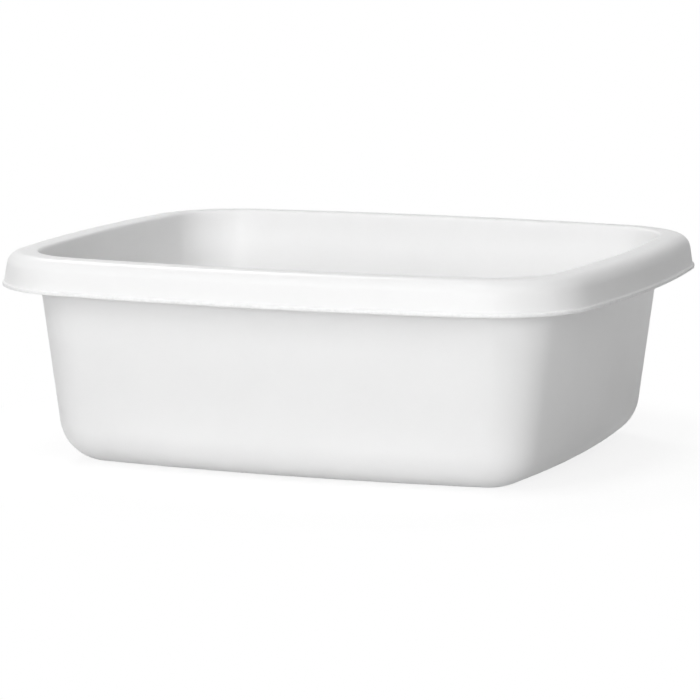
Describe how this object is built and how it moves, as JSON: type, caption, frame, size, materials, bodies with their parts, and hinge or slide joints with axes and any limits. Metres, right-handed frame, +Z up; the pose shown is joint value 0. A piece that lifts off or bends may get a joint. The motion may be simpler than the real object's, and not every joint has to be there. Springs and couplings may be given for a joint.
{
  "type": "washing up bowl",
  "caption": "Rectangular washing up bowl with rounded corners, drafted bowed walls, a large base fillet and a rolled-over rim open underneath.",
  "frame": {"origin": "middle of the base, on the surface that the bowl stands on", "axes": "+Z up out of the bowl's mouth, +X along the long sides, +Y along the short sides"},
  "size_m": [0.385, 0.3354, 0.1285],
  "materials": {
    "bowl": "white polypropylene, moulded satin gloss"
  },
  "bodies": {
    "root": {"bowl": "bowl"}
  },
  "joints": []
}
